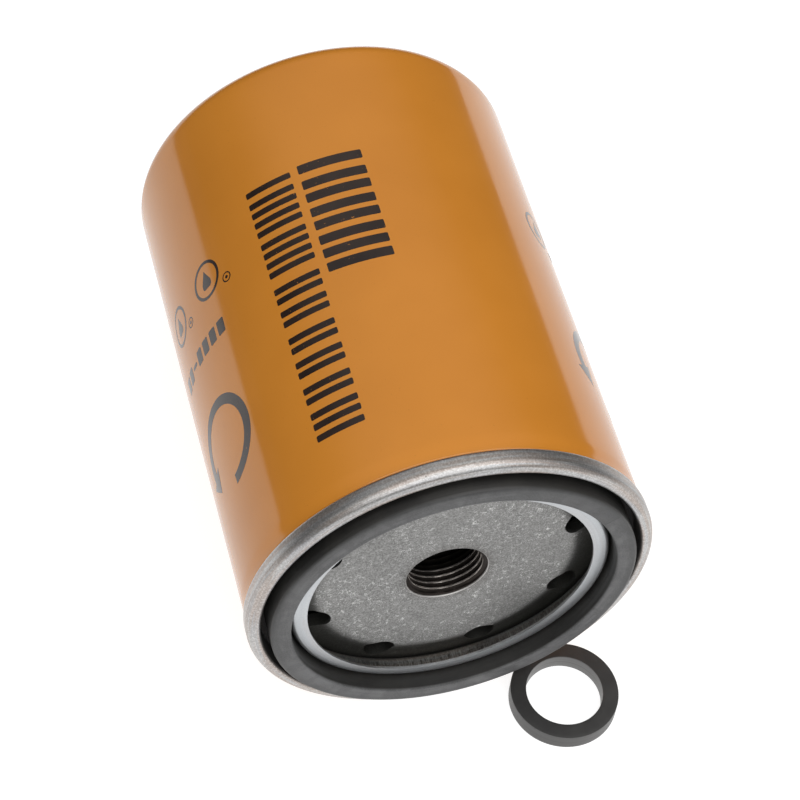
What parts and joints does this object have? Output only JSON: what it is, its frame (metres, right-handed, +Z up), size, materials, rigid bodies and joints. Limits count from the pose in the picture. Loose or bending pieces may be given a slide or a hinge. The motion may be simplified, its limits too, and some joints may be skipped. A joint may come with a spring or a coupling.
{
  "type": "spin-on filter",
  "caption": "Spin-on engine filter lying on its side: painted can, rolled seam, square gasket, threaded plate, pleated element, and a loose inner seal ring.",
  "frame": {"origin": "centre of the footprint, on the plane that the filter and its loose ring lie on", "axes": "+Z up; the filter's axis lies along Y, with the mounting end towards -Y and the closed end towards +Y; the loose ring lies on the +X side"},
  "size_m": [0.095, 0.1532, 0.095],
  "materials": {
    "orange_paint": "gloss enamel",
    "print_ink": "dark brown printed ink",
    "bare_steel": "rolled, satin",
    "grey_steel": "phosphated, sandy",
    "gasket_rubber": "matte, dusty",
    "seal_rubber": "matte",
    "sealing_compound": "cured paste",
    "tinplate": "tinned",
    "filter_paper": "resin-treated paper",
    "potting_glue": "cured glue",
    "spring_steel": "oiled wire"
  },
  "bodies": {
    "housing": {"can_shell": "orange_paint", "seaming_lid": "bare_steel", "seam_compound": "sealing_compound", "base_plate": "grey_steel", "outer_gasket": "gasket_rubber", "element_spring": "spring_steel", "spot_weld_1": "grey_steel", "spot_weld_2": "grey_steel", "spot_weld_3": "grey_steel", "spot_weld_4": "grey_steel", "spot_weld_5": "grey_steel", "spot_weld_6": "grey_steel", "spot_weld_7": "grey_steel", "spot_weld_8": "grey_steel"},
    "element": {"element_grommet": "seal_rubber", "element_top_cap": "tinplate", "top_adhesive": "potting_glue", "pleated_media": "filter_paper", "media_seam_clip": "tinplate", "centre_tube": "tinplate", "bottom_adhesive": "potting_glue", "element_bottom_cap": "tinplate"},
    "loose_seal": {"loose_inner_seal": "seal_rubber"}
  },
  "joints": [
    {"name": "element_slide", "type": "slide", "parent": "housing", "child": "element", "axis": [0, 1, 0], "range_m": [0, 0.003], "stiffness_N_per_m": 3000, "springref_m": -0.01, "deforming": ["element_spring"]},
    {"name": "loose_seal_slide", "type": "slide", "parent": "housing", "child": "loose_seal", "axis": [0, -1, 0], "range_m": [0, 0.04]}
  ]
}
